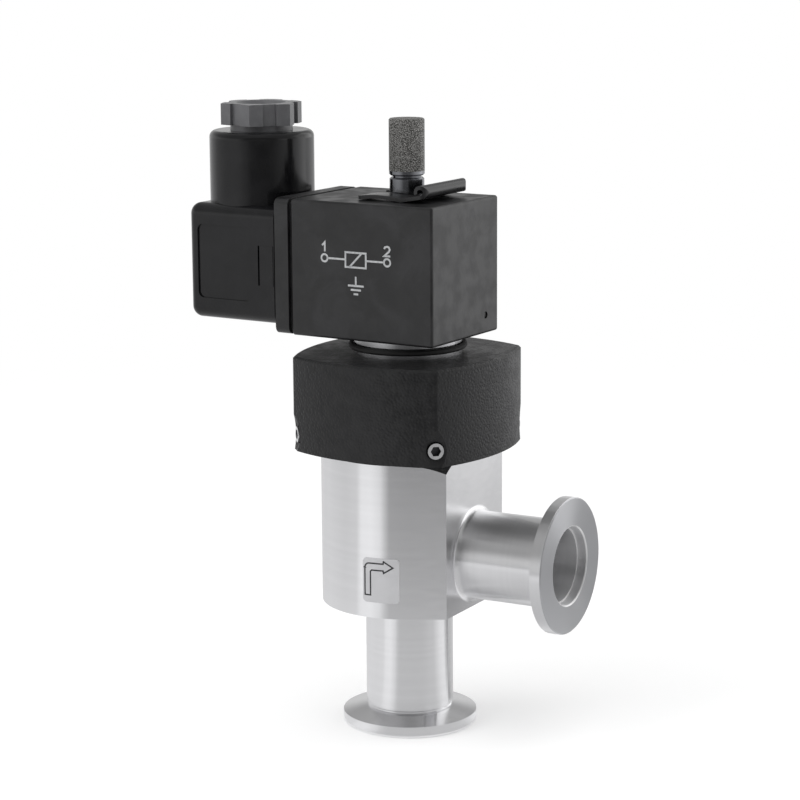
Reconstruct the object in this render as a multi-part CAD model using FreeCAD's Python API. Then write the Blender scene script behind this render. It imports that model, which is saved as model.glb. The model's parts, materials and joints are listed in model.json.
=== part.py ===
import FreeCAD, Part
import math
import os

# Right-angle high-vacuum valve with small-flange ports, an air-driven bellows stem and a
# solenoid pilot valve with its plug on top. Millimetres. The origin is the centre of the inlet
# flange face, +Z runs up the valve stem, the outlet faces +X and the plug stands on the -X side.
# The actuator is drawn square to the body and then turned by actuator_turn on the body's spigot.

# Vacuum flanges of 16 mm nominal bore
flange_radius = 15.0
flange_rim = 2.6
clamp_angle = 15.0
neck_radius = 9.75
port_radius = 8.1
recess_radius = 8.6
recess_depth = 2.2
neck_groove_depth = 0.2
neck_groove_width = 0.35
edge_break = 0.25

# Valve body
flat_reach = 16.5
flat_inset = 6.05
body_radius = 19.45
body_bottom = 28.6
shoulder_height = 63.5
corner_turn_inset = 0.85
outlet_height = 40.3
outlet_reach = 39.7
outlet_blend = 1.2
passage_radius = 7.7
chamber_radius = 13.0
seat_height = 33.0
seat_land = 2.0
seat_relief = 1.0
spigot_radius = 16.2
spigot_height = 7.5
bonnet_bore_radius = 14.0
bonnet_seat_drop = 3.5
clamp_groove_depth = 0.9

# Valve plate, stem and bellows
plate_radius = 11.5
plate_thickness = 4.0
plate_ring_radius = 9.0
plate_ring_wire = 0.9
plate_lift = 0.3
plate_floor = 1.0
stem_radius = 3.0
stem_thread_radius = 2.5
cuff_radius = 7.0
cuff_height = 1.6
cuff_wall = 0.3
bellows_inner = 6.5
bellows_outer = 9.4
bellows_folds = 6
bellows_sheet = 0.6
stroke = 7.0

# Bonnet, piston and cylinder
bonnet_thickness = 4.0
bush_radius = 4.6
bush_length = 4.0
stem_ring_wire = 0.7
bonnet_ring_wire = 0.8
liner_wall = 1.8
liner_height = 17.0
air_slot_width = 3.0
air_slot_height = 1.4
piston_height = 7.0
piston_rest_gap = 0.6
piston_floor = 2.5
piston_skirt = 3.1
piston_seal_height = 2.2
piston_seal_depth = 1.4
nut_flats = 8.0
nut_height = 4.0
return_wire = 0.75
return_turns = 4.5

# Actuator cap and its screws
actuator_turn = -3.0
cap_corner = 18.3
cap_side = 22.3
cap_corner_radius = 1.3
cap_height = 21.0
cap_edge = 0.45
stop_radius = 4.0
cap_screw_height = 3.5
cap_screw_head_radius = 1.75
cap_screw_head_length = 2.2
cap_screw_shank_radius = 1.2
cap_screw_tip_radius = 0.1
cap_screw_socket = 2.0
cap_screw_socket_depth = 1.3
cap_screw_sink = 0.15
cap_dish_radius = 3.5
cap_dish_depth = 0.65
supply_radius = 4.4
supply_depth = 7.0
supply_height = 12.5

# Pilot valve base, tube and plunger
base_radius = 12.0
base_height = 3.8
base_groove_height = 1.6
base_ring_radius = 12.45
base_ring_wire = 0.7
tube_radius = 5.0
tube_bore_radius = 4.0
tube_socket_depth = 2.3
stub_radius = 3.8
stub_height = 4.6
stub_thread_radius = 2.35
stub_edge = 0.35
clip_groove_radius = 3.1
clip_groove_width = 1.5
core_length = 13.0
core_cover = 0.4
exhaust_radius = 0.9
plunger_travel = 0.8
plunger_length = 14.2
plunger_nose_radius = 2.7
plunger_nose_length = 4.5
pad_radius = 1.8
pad_depth = 1.35
plunger_wire = 0.3
plunger_turns = 5
nozzle_radius = 1.0
nozzle_bore_radius = 0.5
nozzle_base_radius = 2.0
nozzle_plate = 1.0

# Solenoid coil
coil_reach = 14.8
coil_back = 21.2
coil_half_width = 14.1
coil_height = 30.0
coil_edge = 0.6
neck_length = 0.8
neck_inset = 0.9
collar_length = 3.5
collar_edge = 1.6
winding_radius = 11.6
winding_margin = 4.4
bobbin_wall = 0.9
bobbin_flange = 1.0
yoke_thickness = 1.5
yoke_half_width = 8.0
blade_width = 6.3
blade_thickness = 0.8
blade_length = 8.4
blade_root = 3.0
blade_spacing = 18.0
mark_radius = 0.8
mark_depth = 0.3
mark_inset = 5.5
mark_height = 4.1

# Retaining clip and silencer
clip_sheet = 0.8
clip_half_width = 9.1
clip_tip = 7.4
clip_bow = 0.45
clip_roll_x = 8.75
clip_roll_radius = 1.45
clip_roll_lift = 0.5
clip_corner = 1.6
clip_rise = 10.0
clip_curl_middle = 62.0
clip_curl_end = 205.0
silencer_radius = 3.9
silencer_length = 11.3
silencer_thread_length = 3.6
silencer_ring_height = 1.0
silencer_groove_radius = 3.1
silencer_groove_height = 0.4
silencer_wall = 1.6

# Cable plug
plug_length = 23.5
plug_half_width = 13.0
plug_height = 25.9
plug_drop = 1.6
plug_edge = 2.5
plug_wall = 2.0
gasket_thickness = 1.0
tower_radius = 11.75
tower_height = 15.8
tower_edge = 1.5
gland_bore_radius = 7.06
gland_ledge = 4.7
gland_passage_radius = 5.2
panel_inset = 2.85
panel_length = 14.6
panel_low = 4.7
panel_height = 16.6
panel_depth = 0.4
panel_corner = 1.4
latch_low = 8.5
latch_height = 8.9
latch_slot = 0.5
latch_inset = 3.8
latch_rise = 0.12
insert_length = 13.0
insert_height = 20.0
terminal_radius = 1.6
terminal_depth = 3.0
terminal_sink = 0.4
screw_slot_depth = 0.7
screw_slot_width = 0.6
plug_screw_radius = 1.5
plug_screw_head_radius = 3.0
plug_screw_head_length = 2.4
plug_screw_sink = 0.6
screw_ring_thickness = 0.6
plug_screw_grip = 3.2

# Cable gland
gland_flats = 16.1
gland_head_height = 4.8
gland_stand_off = 1.3
gland_spigot_length = 7.6
gland_spigot_radius = 7.0
gland_hole_radius = 4.8
gland_mouth_radius = 5.7
gland_notch_width = 3.1
gland_notch_depth = 0.7
gland_turn = 48.0
gland_crown_depth = 1.0
gland_crown_edge = 0.6
gland_washer_thickness = 0.8

# Flow label
label_middle = 10.0
label_sweep = 24.8
label_low = 3.5
label_height = 9.9
label_thickness = 0.12
label_corner = 0.9

# Clearances
running_clearance = 0.06
slide_clearance = 0.08
sealing_gap = 0.15
seat_gap = 0.1
loose_fit = 0.25

# Helper lengths: how far a cutting shape stands past what it cuts, and how far joined shapes
# reach into each other
overcut = 1.0
overlap = 0.5

# Sections round each turn of a spring, and corners of a spring wire's and of a ring's section
spring_steps = 12
spring_sides = 6
ring_sides = 8

# Heights and reaches that follow from the sizes above
spigot_top = shoulder_height + spigot_height
bonnet_bottom = shoulder_height - bonnet_seat_drop
bonnet_top = bonnet_bottom + bonnet_thickness
bonnet_radius = bonnet_bore_radius - slide_clearance
plate_bottom = seat_height + plate_lift
plate_top = plate_bottom + plate_thickness
liner_outer = bonnet_bore_radius - slide_clearance
liner_inner = liner_outer - liner_wall
liner_top = bonnet_top + liner_height
piston_radius = liner_inner - slide_clearance
piston_bottom = bonnet_top + piston_rest_gap
piston_top = piston_bottom + piston_height
piston_cup_radius = piston_radius - piston_skirt
piston_cup_floor = piston_bottom + piston_floor
return_radius = piston_cup_radius - return_wire - loose_fit
cap_top = shoulder_height + cap_height
base_top = cap_top + base_height
coil_bottom = base_top
coil_top = coil_bottom + coil_height
tube_bottom = base_top - tube_socket_depth
stub_top = coil_top + stub_height
flat_half_width = body_radius - flat_inset
body_corner_radius = math.hypot(flat_reach, flat_half_width)
core_top = coil_top - core_cover
core_bottom = core_top - core_length
plunger_radius = tube_bore_radius - slide_clearance
plunger_top = core_bottom - plunger_travel - seat_gap
plunger_bottom = plunger_top - plunger_length
collar_end = -(coil_back + neck_length + collar_length)
plug_start = collar_end - gasket_thickness
plug_end = plug_start - plug_length
plug_middle = (plug_start + plug_end) / 2
plug_screw_bearing = plug_end + plug_screw_sink + plug_screw_head_length
plug_screw_floor = plug_screw_bearing + screw_ring_thickness
plug_bottom = coil_bottom + plug_drop
plug_top = plug_bottom + plug_height
plug_centre_height = (plug_bottom + plug_top) / 2
tower_top = plug_top + tower_height
gland_head_bottom = tower_top + gland_stand_off
gland_spigot_bottom = gland_head_bottom - gland_spigot_length
gland_washer_bottom = gland_spigot_bottom - gland_washer_thickness
gland_ledge_height = plug_top + gland_ledge


def vec(x, y, z):
    return FreeCAD.Vector(x, y, z)


def cylinder(radius, low, high, x=0.0, y=0.0):
    return Part.makeCylinder(radius, high - low, vec(x, y, low))


def cylinder_x(radius, start, end, y, z):
    return Part.makeCylinder(radius, end - start, vec(start, y, z), vec(1, 0, 0))


def ring(outer, inner, low, high, x=0.0, y=0.0):
    hole = cylinder(inner, low - overcut, high + overcut, x, y)
    return cylinder(outer, low, high, x, y).cut(hole)


def block(x0, x1, y0, y1, z0, z1):
    return Part.makeBox(x1 - x0, y1 - y0, z1 - z0, vec(x0, y0, z0))


def turned(points):
    """Solid of revolution about Z from (radius, height) points."""
    corners = [vec(r, 0, z) for r, z in points]
    face = Part.Face(Part.makePolygon(corners + corners[:1]))
    return face.revolve(vec(0, 0, 0), vec(0, 0, 1), 360)


def o_ring(mean_radius, wire_radius, height):
    """Ring of round wire, its section drawn with flat sides."""
    corners = []
    for k in range(ring_sides):
        around = 2 * math.pi * (k + 0.5) / ring_sides
        corners.append((mean_radius + wire_radius * math.cos(around),
                        height + wire_radius * math.sin(around)))
    return turned(corners)


def hexagon(flats, low, high, turn=0.0):
    radius = flats / math.sqrt(3)
    angles = [math.radians(60 * i + 30 + turn) for i in range(6)]
    corners = [vec(radius * math.cos(a), radius * math.sin(a), low) for a in angles]
    face = Part.Face(Part.makePolygon(corners + corners[:1]))
    return face.extrude(vec(0, 0, high - low))


def moved(shape, x=0.0, y=0.0, z=0.0):
    copy = shape.copy()
    copy.translate(vec(x, y, z))
    return copy


def facing_out(shape):
    """Turn a piece drawn along +Z from the outlet face so that it lies along the outlet."""
    copy = shape.copy()
    copy.rotate(vec(0, 0, 0), vec(0, 1, 0), -90)
    return moved(copy, outlet_reach, 0, outlet_height)


def edges_along(shape, axis):
    """Straight edges parallel to an axis, given as 0, 1 or 2."""
    found = []
    for edge in shape.Edges:
        if edge.Curve.TypeId == "Part::GeomLine":
            direction = edge.tangentAt(edge.FirstParameter)
            if abs(direction[axis]) > 0.999:
                found.append(edge)
    return found


def rounded_block(x0, x1, y0, y1, z0, z1, radius):
    shape = block(x0, x1, y0, y1, z0, z1)
    return shape.makeFillet(radius, shape.Edges)


def spring(mean_radius, wire_radius, low, high, turns):
    """Coil spring: flat-sided wire carried through equal steps of its helix."""
    rise = high - low - 2 * wire_radius
    steps = round(turns * spring_steps)
    slope = rise / (2 * math.pi * turns * mean_radius)
    sections = []
    for i in range(steps + 1):
        angle = 2 * math.pi * turns * i / steps
        outward = vec(math.cos(angle), math.sin(angle), 0)
        along = vec(-math.sin(angle), math.cos(angle), slope)
        upward = outward.cross(along).normalize()
        centre = outward * mean_radius + vec(0, 0, low + wire_radius + rise * i / steps)
        corners = []
        for k in range(spring_sides):
            around = 2 * math.pi * k / spring_sides
            corners.append(centre + outward * wire_radius * math.cos(around)
                           + upward * wire_radius * math.sin(around))
        sections.append(Part.makePolygon(corners + corners[:1]))
    return Part.makeLoft(sections, True, True)


# Vacuum side

def flange_leg(length):
    """Flange, clamping cone and neck, from the flange face at zero upward."""
    cone_rise = (flange_radius - neck_radius) * math.tan(math.radians(clamp_angle))
    cone_top = flange_rim + cone_rise
    groove_radius = neck_radius - neck_groove_depth
    groove_top = cone_top + neck_groove_width
    return turned([
        (0, 0),
        (flange_radius - edge_break, 0),
        (flange_radius, edge_break),
        (flange_radius, flange_rim),
        (groove_radius, cone_top),
        (groove_radius, groove_top),
        (neck_radius, groove_top + neck_groove_depth),
        (neck_radius, length),
        (0, length),
    ])


def port_hollow(length):
    """Centring recess, its lead-in and the bore behind it, to be cut from a leg."""
    return turned([
        (0, -overcut),
        (recess_radius + edge_break + overcut, -overcut),
        (recess_radius, edge_break),
        (recess_radius, recess_depth),
        (port_radius, recess_depth),
        (port_radius, length),
        (0, length),
    ])


def blend_collar(radius, blend):
    """Ring with a hollow quarter-round, the blend between a tube and the flat behind it."""
    collar = ring(radius + blend, radius - edge_break, 0, blend)
    return collar.cut(Part.makeTorus(radius + blend, blend, vec(0, 0, blend)))


def body_outline(low, high):
    """Round column that runs out straight, on both sides, to a flat where the outlet leaves."""
    tangent = (math.atan2(flat_reach, flat_half_width)
               - math.acos(body_radius / body_corner_radius))
    x = body_radius * math.sin(tangent)
    y = body_radius * math.cos(tangent)
    corners = [vec(x, -y, low), vec(flat_reach, -flat_half_width, low),
               vec(flat_reach, flat_half_width, low), vec(x, y, low)]
    back = Part.Arc(corners[0], vec(-body_radius, 0, low), corners[3])
    face = Part.Face(Part.Wire([back.toShape()] + Part.makePolygon(corners[::-1]).Edges))
    return face.extrude(vec(0, 0, high - low))


def valve_body():
    column = body_outline(body_bottom, shoulder_height)
    widest = body_corner_radius + overcut
    turn_radius = body_radius - corner_turn_inset
    envelope = turned([
        (0, body_bottom),
        (widest, body_bottom),
        (widest, shoulder_height - (widest - turn_radius)),
        (turn_radius, shoulder_height),
        (0, shoulder_height),
    ])
    column = column.common(envelope)
    spigot = cylinder(spigot_radius, shoulder_height - overcut, spigot_top)
    inlet_leg = flange_leg(body_bottom + overcut)
    outlet_leg = facing_out(flange_leg(outlet_reach - chamber_radius))
    blend = blend_collar(neck_radius, outlet_blend)
    blend.rotate(vec(0, 0, 0), vec(0, 1, 0), 90)
    blend = moved(blend, flat_reach, 0, outlet_height)
    shape = column.fuse([spigot, inlet_leg, outlet_leg, blend])
    land_radius = port_radius + seat_land
    shape = shape.cut(port_hollow(seat_height + overcut))
    shape = shape.cut(facing_out(port_hollow(outlet_reach - flat_reach)))
    shape = shape.cut(facing_out(cylinder(passage_radius, 0, outlet_reach - land_radius)))
    shape = shape.cut(cylinder(chamber_radius, seat_height, bonnet_bottom + overcut))
    relief = ring(chamber_radius, land_radius, seat_height - seat_relief, seat_height + overcut)
    shape = shape.cut(relief)
    shape = shape.cut(cylinder(bonnet_bore_radius, bonnet_bottom, spigot_top + overcut))
    groove_middle = shoulder_height + cap_screw_height
    groove = turned([
        (spigot_radius + overcut, groove_middle - clamp_groove_depth - overcut),
        (spigot_radius + overcut, groove_middle + clamp_groove_depth + overcut),
        (spigot_radius - clamp_groove_depth, groove_middle),
    ])
    return shape.cut(groove).removeSplitter()


def valve_plate():
    disc = cylinder(plate_radius, plate_bottom, plate_top)
    boss = cylinder(cuff_radius, plate_top - overcut, plate_top + cuff_height)
    groove_radius = plate_ring_wire + seat_gap
    groove_top = plate_bottom + 2 * plate_ring_wire - plate_lift + sealing_gap
    groove = ring(plate_ring_radius + groove_radius, plate_ring_radius - groove_radius,
                  plate_bottom - overcut, groove_top)
    bore = cylinder(stem_thread_radius, plate_bottom + plate_floor,
                    plate_top + cuff_height + overcut)
    return disc.fuse(boss).cut(groove).cut(bore).removeSplitter()


def plate_o_ring():
    return o_ring(plate_ring_radius, plate_ring_wire, seat_height + sealing_gap + plate_ring_wire)


def stem():
    shoulder = plate_top + cuff_height
    seat = piston_bottom
    foot = cylinder(stem_thread_radius, plate_bottom + plate_floor, shoulder + overlap)
    rod = cylinder(stem_radius, shoulder, seat)
    tail_top = piston_cup_floor + nut_height + seat_gap
    tail = cylinder(stem_thread_radius, seat - overlap, tail_top)
    return rod.fuse([foot, tail]).removeSplitter()


def bellows():
    """Formed bellows: folds between two cuffs that sit on the plate and on the bonnet."""
    low = plate_top
    high = bonnet_bottom
    first = low + cuff_height
    last = high - cuff_height
    half_fold = (last - first) / (2 * bellows_folds)
    folds = []
    for i in range(2 * bellows_folds + 1):
        radius = bellows_outer if i % 2 else bellows_inner
        folds.append((radius, first + i * half_fold))
    cuff_outer = cuff_radius + cuff_wall
    outside = [(cuff_outer, low), (cuff_outer, first)]
    outside += [(r + bellows_sheet, z) for r, z in folds[1:-1]]
    outside += [(cuff_outer, last), (cuff_outer, high)]
    inside = [(cuff_radius, high), (cuff_radius, last)]
    inside += [(r, z) for r, z in reversed(folds[1:-1])]
    inside += [(cuff_radius, first), (cuff_radius, low)]
    return turned(outside + inside)


def bonnet():
    disc = cylinder(bonnet_radius, bonnet_bottom, bonnet_top)
    boss = cylinder(cuff_radius, bonnet_bottom - cuff_height, bonnet_bottom + overcut)
    shape = disc.fuse(boss)
    bush_bottom = bonnet_bottom - cuff_height
    shape = shape.cut(cylinder(bush_radius, bush_bottom - overcut, bush_bottom + bush_length))
    shape = shape.cut(cylinder(stem_radius + loose_fit, bush_bottom, bonnet_top + overcut))
    seal_radius = stem_radius + running_clearance + 2 * stem_ring_wire
    shape = shape.cut(cylinder(seal_radius, bonnet_top - 2 * stem_ring_wire, bonnet_top + overcut))
    ring_middle = (bonnet_bottom + bonnet_top) / 2
    groove = ring(bonnet_radius + overcut, bonnet_radius - 2 * bonnet_ring_wire,
                  ring_middle - bonnet_ring_wire, ring_middle + bonnet_ring_wire)
    return shape.cut(groove).removeSplitter()


def bonnet_o_ring():
    ring_middle = (bonnet_bottom + bonnet_top) / 2
    return o_ring(bonnet_radius - bonnet_ring_wire, bonnet_ring_wire, ring_middle)


def guide_bush():
    low = bonnet_bottom - cuff_height
    return ring(bush_radius, stem_radius + running_clearance, low, low + bush_length)


def stem_seal():
    middle = bonnet_top - stem_ring_wire
    return o_ring(stem_radius + running_clearance + stem_ring_wire, stem_ring_wire, middle)


def cylinder_liner():
    shape = ring(liner_outer, liner_inner, bonnet_top, liner_top)
    half_slot = air_slot_width / 2
    slot_top = bonnet_top + air_slot_height
    slot = block(-liner_outer, liner_outer, -half_slot, half_slot, bonnet_top - overcut, slot_top)
    return shape.cut(slot)


def piston():
    shape = cylinder(piston_radius, piston_bottom, piston_top)
    shape = shape.cut(cylinder(piston_cup_radius, piston_cup_floor, piston_top + overcut))
    bore = cylinder(stem_thread_radius, piston_bottom - overcut, piston_cup_floor + overcut)
    shape = shape.cut(bore)
    middle = (piston_bottom + piston_top) / 2
    half = piston_seal_height / 2
    groove = ring(piston_radius + overcut, piston_radius - piston_seal_depth,
                  middle - half, middle + half)
    return shape.cut(groove)


def piston_seal():
    """Two-lipped ring in the piston's groove."""
    middle = (piston_bottom + piston_top) / 2
    half = piston_seal_height / 2
    root = piston_radius - piston_seal_depth
    lip = piston_radius + slide_clearance / 2
    hollow = piston_seal_depth / 2
    return turned([
        (root, middle - half),
        (lip, middle - half),
        (lip, middle - half / 2),
        (root + hollow, middle),
        (lip, middle + half / 2),
        (lip, middle + half),
        (root, middle + half),
    ])


def stem_nut():
    shape = hexagon(nut_flats, piston_cup_floor, piston_cup_floor + nut_height)
    bore = cylinder(stem_thread_radius, piston_cup_floor - overcut,
                    piston_cup_floor + nut_height + overcut)
    return shape.cut(bore)


def return_spring():
    return spring(return_radius, return_wire, piston_cup_floor, liner_top, return_turns)


# Actuator cap

def cap_outline(low, high):
    """Square with bowed sides: four arcs through the corners and the side middles."""
    c = cap_corner
    s = cap_side
    corners = [vec(c, -c, low), vec(c, c, low), vec(-c, c, low), vec(-c, -c, low)]
    middles = [vec(s, 0, low), vec(0, s, low), vec(-s, 0, low), vec(0, -s, low)]
    arcs = []
    for i in range(4):
        arcs.append(Part.Arc(corners[i], middles[i], corners[(i + 1) % 4]).toShape())
    shape = Part.Face(Part.Wire(arcs)).extrude(vec(0, 0, high - low))
    return shape.makeFillet(cap_corner_radius, edges_along(shape, 2))


def top_edges(shape, height):
    found = []
    for edge in shape.Edges:
        box = edge.BoundBox
        if abs(box.ZMin - height) < 0.001 and abs(box.ZMax - height) < 0.001:
            found.append(edge)
    return found


def on_diagonals(piece):
    """Copies of a piece drawn along +X, turned to the four cap corners."""
    copies = []
    for i in range(4):
        copy = piece.copy()
        copy.rotate(vec(0, 0, 0), vec(0, 0, 1), 45 + 90 * i)
        copies.append(copy)
    return copies


def corner_reach():
    """Distance of the cap's rounded corners from the axis."""
    return math.sqrt(2) * cap_corner - cap_corner_radius * (math.sqrt(2) - 1)


def cap_screw_face():
    """Distance of the screw heads' outer faces from the axis."""
    return corner_reach() - cap_screw_sink


def actuator_cap():
    shape = cap_outline(shoulder_height, cap_top)
    shape = shape.makeChamfer(cap_edge, top_edges(shape, cap_top))
    spigot_hollow = cylinder(spigot_radius + slide_clearance, shoulder_height - overcut,
                             spigot_top + loose_fit)
    liner_hollow = cylinder(bonnet_bore_radius, spigot_top, liner_top)
    shape = shape.cut(spigot_hollow.fuse(liner_hollow))
    stop_bottom = piston_cup_floor + nut_height + seat_gap + stroke + loose_fit
    shape = shape.fuse(cylinder(stop_radius, stop_bottom, liner_top + overcut))
    height = shoulder_height + cap_screw_height
    face = cap_screw_face()
    bearing = face - cap_screw_head_length
    counterbore = cylinder_x(cap_screw_head_radius + loose_fit, bearing, face + overcut, 0, height)
    hole = cylinder_x(cap_screw_shank_radius + loose_fit, spigot_radius - overcut, face,
                      0, height)
    dish_foot = vec(corner_reach() - cap_dish_depth, 0, height)
    foot_radius = cap_screw_head_radius + loose_fit
    dish_slope = (cap_dish_radius - foot_radius) / cap_dish_depth
    dish = Part.makeCone(foot_radius, cap_dish_radius + dish_slope, cap_dish_depth + overcut,
                         dish_foot, vec(1, 0, 0))
    for tool in on_diagonals(counterbore.fuse([hole, dish])):
        shape = shape.cut(tool)
    port_y = cap_side - supply_depth
    port_z = shoulder_height + supply_height
    port = Part.makeCylinder(supply_radius, supply_depth + overcut, vec(0, port_y, port_z),
                             vec(0, 1, 0))
    return shape.cut(port).removeSplitter()


def cap_screws():
    height = shoulder_height + cap_screw_height
    face = cap_screw_face()
    bearing = face - cap_screw_head_length
    tip = spigot_radius - clamp_groove_depth + cap_screw_shank_radius
    head = cylinder_x(cap_screw_head_radius, bearing, face, 0, height)
    shank = cylinder_x(cap_screw_shank_radius, tip, bearing + overlap, 0, height)
    point = Part.makeCone(cap_screw_tip_radius, cap_screw_shank_radius, cap_screw_shank_radius,
                          vec(tip - cap_screw_shank_radius + seat_gap, 0, height), vec(1, 0, 0))
    socket = hexagon(cap_screw_socket, 0, cap_screw_socket_depth)
    socket.rotate(vec(0, 0, 0), vec(0, 1, 0), -90)
    socket = moved(socket, face, 0, height)
    screw = head.fuse([shank, point]).cut(socket)
    return Part.makeCompound(on_diagonals(screw))


# Pilot valve

def pilot_base():
    shape = cylinder(base_radius, cap_top, base_top)
    shape = shape.makeChamfer(edge_break, top_edges(shape, base_top))
    groove_z = cap_top + base_groove_height
    groove_half = base_ring_wire + running_clearance
    groove = ring(base_radius + overcut, base_ring_radius - base_ring_wire - running_clearance,
                  groove_z - groove_half, groove_z + groove_half)
    shape = shape.cut(groove)
    shape = shape.cut(cylinder(tube_radius, tube_bottom, base_top + overcut))
    shape = shape.cut(cylinder(nozzle_radius, cap_top - overcut, tube_bottom + overcut))
    return shape.removeSplitter()


def base_o_ring():
    """Rubber ring in the groove of the pilot base, under the coil."""
    return o_ring(base_ring_radius, base_ring_wire, cap_top + base_groove_height)


def pilot_nozzle():
    tip = plunger_bottom - sealing_gap
    seat_plate_top = tube_bottom + nozzle_plate
    foot = cylinder(nozzle_radius, cap_top, tube_bottom + overlap)
    plate = cylinder(tube_bore_radius, tube_bottom, seat_plate_top)
    cone = Part.makeCone(nozzle_base_radius, nozzle_radius, tip - seat_plate_top,
                         vec(0, 0, seat_plate_top))
    bore = cylinder(nozzle_bore_radius, cap_top - overcut, tip + overcut)
    return foot.fuse([plate, cone]).cut(bore).removeSplitter()


def armature_tube():
    shape = cylinder(tube_radius, tube_bottom, coil_top)
    shape = shape.fuse(cylinder(stub_radius, coil_top - overcut, stub_top))
    shape = shape.makeChamfer(stub_edge, top_edges(shape, stub_top))
    shape = shape.cut(cylinder(tube_bore_radius, tube_bottom - overcut, core_top))
    shape = shape.cut(cylinder(stub_thread_radius, core_top - overcut, stub_top + overcut))
    groove = ring(tube_radius + overcut, clip_groove_radius, coil_top, coil_top + clip_groove_width)
    return shape.cut(groove).removeSplitter()


def fixed_core():
    shape = cylinder(tube_bore_radius, core_bottom, core_top)
    return shape.cut(cylinder(exhaust_radius, core_bottom - overcut, core_top + overcut))


def plunger():
    shoulder = plunger_top - plunger_nose_length
    shape = cylinder(plunger_radius, plunger_bottom, shoulder)
    shape = shape.fuse(cylinder(plunger_nose_radius, shoulder - overcut, plunger_top))
    for low, high in plunger_pads():
        shape = shape.cut(cylinder(pad_radius, low, high))
    return shape.removeSplitter()


def plunger_pads():
    """Lower and upper height of the two rubber pads in the plunger's ends."""
    return [(plunger_bottom, plunger_bottom + pad_depth), (plunger_top - pad_depth, plunger_top)]


def plunger_seals():
    return Part.makeCompound([cylinder(pad_radius, low, high) for low, high in plunger_pads()])


def plunger_spring():
    mean = (plunger_nose_radius + plunger_radius) / 2
    shoulder = plunger_top - plunger_nose_length
    return spring(mean, plunger_wire, shoulder, core_bottom, plunger_turns)


# Solenoid coil

def winding_heights():
    return coil_bottom + winding_margin, coil_top - winding_margin


def coil_bobbin():
    low, high = winding_heights()
    inner = tube_radius + running_clearance
    hub = ring(inner + bobbin_wall, inner, low - bobbin_flange, high + bobbin_flange)
    flanges = [ring(winding_radius, inner, low - bobbin_flange, low),
               ring(winding_radius, inner, high, high + bobbin_flange)]
    return hub.fuse(flanges).removeSplitter()


def coil_winding():
    low, high = winding_heights()
    inner = tube_radius + running_clearance + bobbin_wall
    return ring(winding_radius, inner, low, high)


def coil_yoke():
    """Steel strap over, behind and under the winding."""
    inner_low, inner_high = winding_heights()
    inner_low -= bobbin_flange
    inner_high += bobbin_flange
    low = inner_low - yoke_thickness
    high = inner_high + yoke_thickness
    back = -winding_radius - bobbin_wall
    y = yoke_half_width
    outer = block(back - yoke_thickness, winding_radius, -y, y, low, high)
    inner = block(back, winding_radius + overcut, -y - overcut, y + overcut,
                  inner_low, inner_high)
    bore = cylinder(tube_radius + running_clearance, low - overcut, high + overcut)
    return outer.cut(inner).cut(bore)


def coil_case():
    """The outside of the moulded coil: block, neck and plug collar."""
    main = rounded_block(-coil_back, coil_reach, -coil_half_width, coil_half_width,
                         coil_bottom, coil_top, coil_edge)
    collar = block(collar_end, -coil_back - neck_length, -coil_half_width, coil_half_width,
                   coil_bottom, coil_top)
    collar = collar.makeFillet(collar_edge, edges_along(collar, 0))
    neck_half = coil_half_width - neck_inset
    neck = block(collar_end + overcut, -coil_back + coil_edge + overcut, -neck_half, neck_half,
                 coil_bottom + neck_inset, coil_top - neck_inset)
    return main.fuse([collar, neck])


def coil_housing():
    shape = coil_case()
    low, high = winding_heights()
    hollow = cylinder(winding_radius, low - bobbin_flange, high + bobbin_flange)
    bore = cylinder(tube_radius + running_clearance, coil_bottom - overcut, coil_top + overcut)
    shape = shape.cut(hollow.fuse(bore))
    shape = shape.cut(coil_yoke())
    for blade in blade_boxes(0.0):
        shape = shape.cut(blade)
    screw_hole = cylinder_x(plug_screw_radius + running_clearance, collar_end - overcut,
                            collar_end + plug_screw_grip + overcut, 0, plug_centre_height)
    shape = shape.cut(screw_hole)
    mark = cylinder_x(mark_radius, coil_reach - mark_depth, coil_reach + overcut,
                      coil_half_width - mark_inset, coil_bottom + mark_height)
    return shape.cut(mark)


def blade_boxes(margin):
    """The two live blades side by side and the earth blade below, each with a margin round it."""
    tip = collar_end - blade_length - margin
    root = collar_end + blade_root
    half_width = blade_width / 2 + margin
    half_thickness = blade_thickness / 2 + margin
    height = plug_centre_height
    boxes = []
    for side in (-1, 1):
        y = side * blade_spacing / 2
        boxes.append(block(tip, root, y - half_thickness, y + half_thickness,
                           height - half_width, height + half_width))
    low = height - blade_spacing / 2
    boxes.append(block(tip, root, -half_width, half_width,
                       low - half_thickness, low + half_thickness))
    return boxes


def contact_blades():
    return Part.makeCompound(blade_boxes(0.0))


# Retaining clip and silencer

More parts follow.
